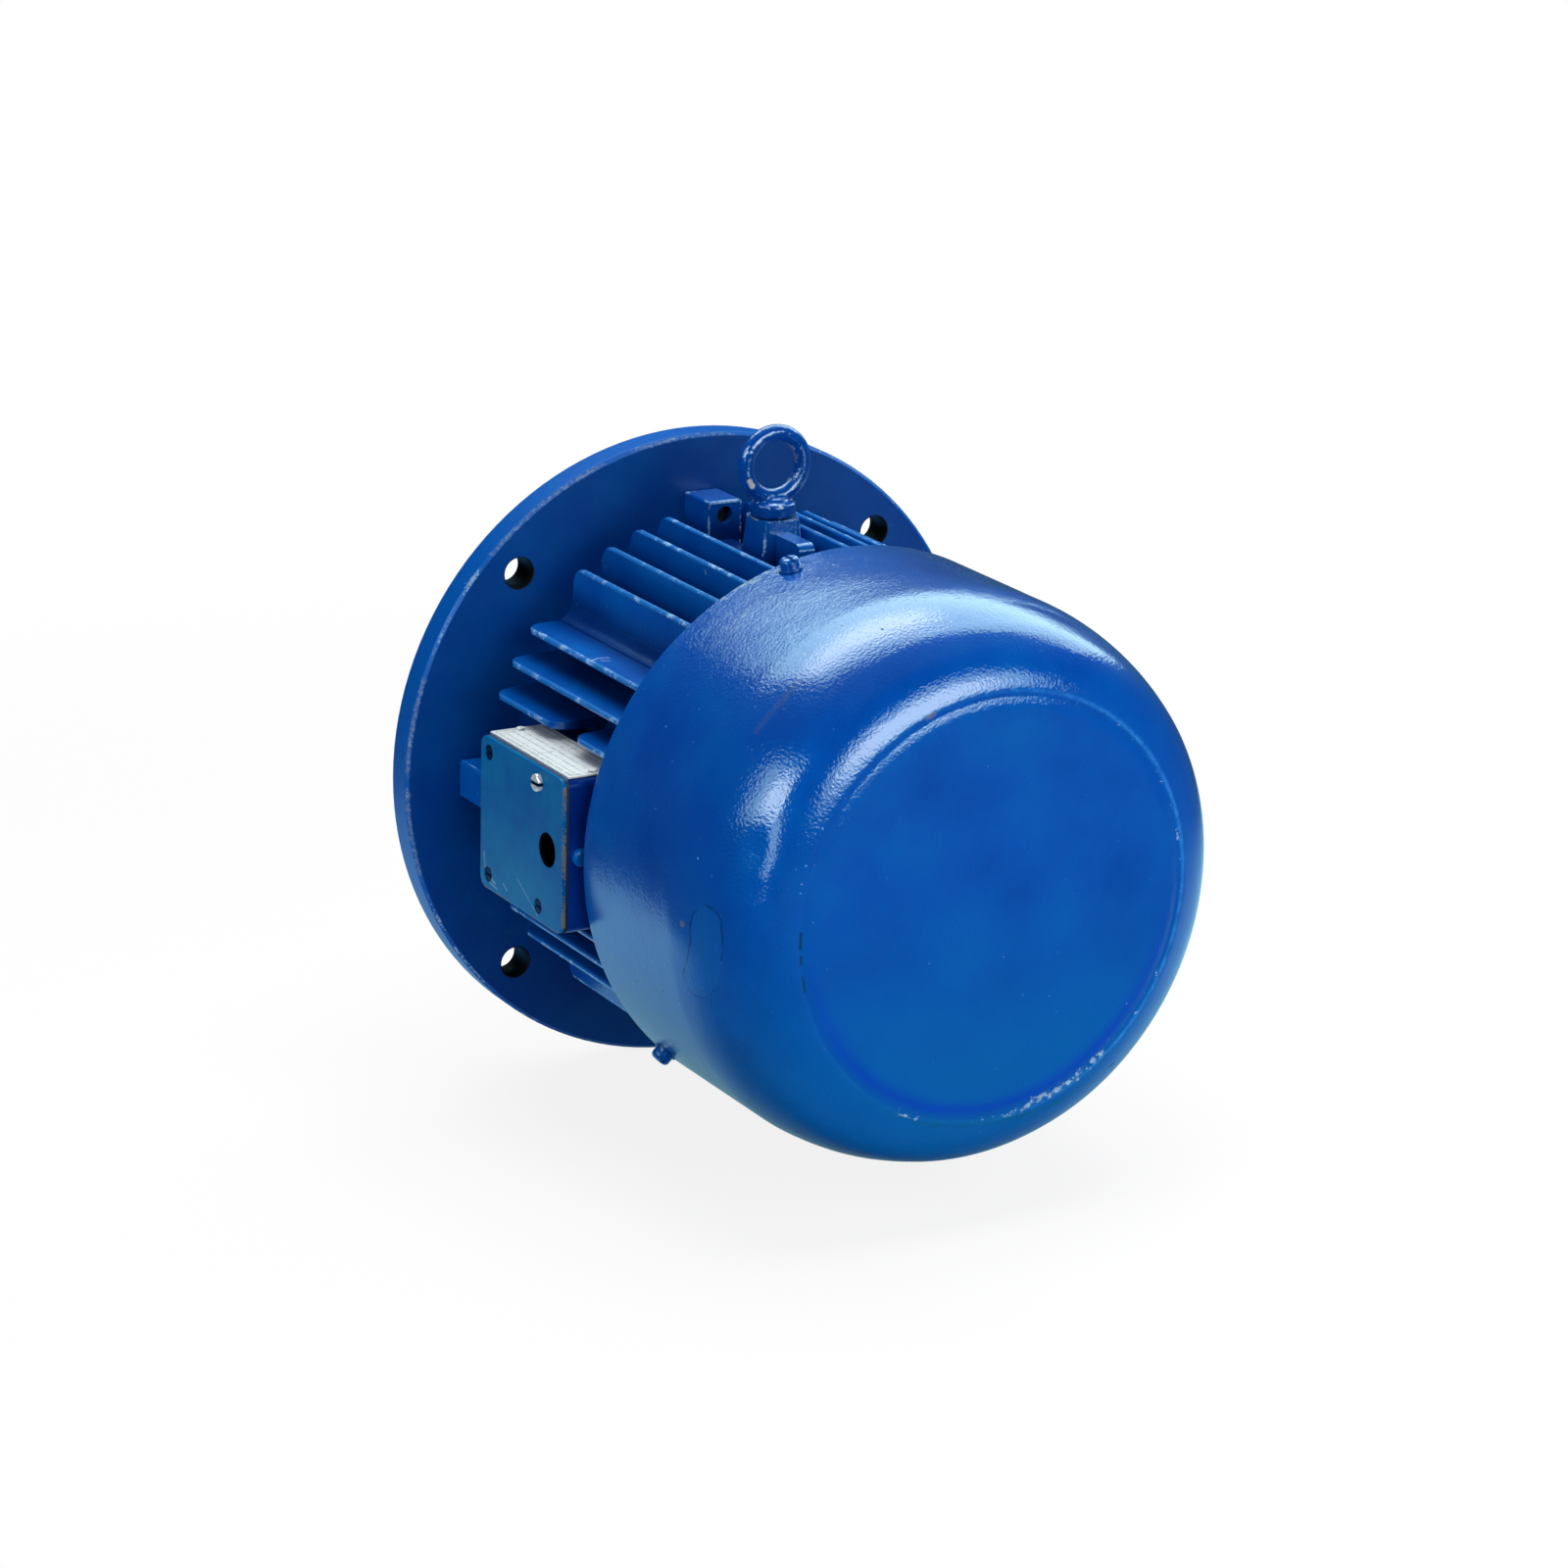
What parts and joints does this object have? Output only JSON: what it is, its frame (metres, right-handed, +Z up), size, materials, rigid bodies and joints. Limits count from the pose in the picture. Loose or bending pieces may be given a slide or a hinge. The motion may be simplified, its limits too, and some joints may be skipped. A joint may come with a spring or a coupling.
{
  "type": "hoist motor",
  "caption": "Flange-mounted electric hoist motor with finned housing, side terminal box, lifting eye, keyed drive shaft and a disc brake under a closed rear hood.",
  "frame": {"origin": "centre of the flange's mating face, on the shaft axis", "axes": "+Y along the drive shaft, out of the flange; +Z up to the lifting eye; the terminal box is on -X"},
  "size_m": [0.3, 0.3608, 0.3188],
  "materials": {
    "blue_enamel": "satin-gloss brushed and sprayed blue enamel over castings and spun steel",
    "cover_enamel": "duller, scuffed blue enamel on sheet steel",
    "turned_steel": "turned and ground steel",
    "bearing_steel": "ground and polished bearing steel",
    "plated_steel": "zinc-plated steel",
    "black_steel": "blackened high-tensile steel",
    "lamination_steel": "stacked electrical sheet",
    "cast_iron": "machined grey cast iron",
    "copper_winding": "varnished copper winding",
    "cast_aluminium": "die-cast aluminium",
    "plate_aluminium": "brushed bare aluminium sheet",
    "brass": "machined brass",
    "black_rubber": "black rubber",
    "moulded_plastic": "moulded phenolic plastic",
    "friction_lining": "brake lining on a steel carrier"
  },
  "bodies": {
    "motor_frame": {"flange_end_shield": "blue_enamel", "flange_bolts": "black_steel", "motor_housing": "blue_enamel", "eyebolt": "blue_enamel", "stator_core": "lamination_steel", "stator_windings": "copper_winding", "front_bearing_outer_ring": "bearing_steel", "rear_bearing_outer_ring": "bearing_steel", "bearing_preload_washer": "turned_steel", "shaft_seal": "black_rubber", "rear_end_shield": "cast_iron", "rear_shield_bolts": "plated_steel", "brake_friction_plate": "turned_steel", "brake_magnet": "cast_iron", "brake_coil": "copper_winding", "brake_springs": "turned_steel", "brake_spacers": "turned_steel", "brake_bolts": "plated_steel", "rear_hood": "blue_enamel", "hood_screws": "blue_enamel", "terminal_box": "blue_enamel", "box_seat_gasket": "black_rubber", "box_fixing_screws": "plated_steel", "cover_gasket": "black_rubber", "terminal_cover": "cover_enamel", "terminal_cover_screws": "plated_steel", "earth_screw": "blue_enamel", "terminal_block": "moulded_plastic", "terminal_studs": "brass", "terminal_links": "brass", "nameplate": "plate_aluminium", "nameplate_pins": "plate_aluminium"},
    "rotor": {"rotor_shaft": "turned_steel", "shaft_key": "turned_steel", "rotor_core": "lamination_steel", "rotor_cage": "cast_aluminium", "front_bearing_inner_ring": "bearing_steel", "rear_bearing_inner_ring": "bearing_steel", "brake_hub": "turned_steel", "brake_hub_key": "turned_steel", "brake_disc": "friction_lining", "shaft_circlip": "black_steel"},
    "brake_armature_plate": {"brake_armature": "turned_steel"},
    "front_ball_set": {"front_bearing_balls": "bearing_steel", "front_bearing_cage": "brass"},
    "rear_ball_set": {"rear_bearing_balls": "bearing_steel", "rear_bearing_cage": "brass"}
  },
  "joints": [
    {"name": "rotor_spin", "type": "hinge", "parent": "motor_frame", "child": "rotor", "pos_m": [0, 0, 0], "axis": [0, 1, 0], "continuous": true},
    {"name": "front_balls_roll", "type": "hinge", "parent": "motor_frame", "child": "front_ball_set", "pos_m": [0, -0.019, 0], "axis": [0, 1, 0], "continuous": true},
    {"name": "rear_balls_roll", "type": "hinge", "parent": "motor_frame", "child": "rear_ball_set", "pos_m": [0, -0.191, 0], "axis": [0, 1, 0], "continuous": true},
    {"name": "armature_release", "type": "slide", "parent": "motor_frame", "child": "brake_armature_plate", "axis": [0, -1, 0], "range_m": [0, 0.0005], "stiffness_N_per_m": 8000, "springref_m": -0.002, "deforming": ["brake_springs"]}
  ],
  "couplings": [
    {"joint": "front_balls_roll", "follows": "rotor_spin", "ratio": 0.4008},
    {"joint": "rear_balls_roll", "follows": "rotor_spin", "ratio": 0.4008}
  ]
}
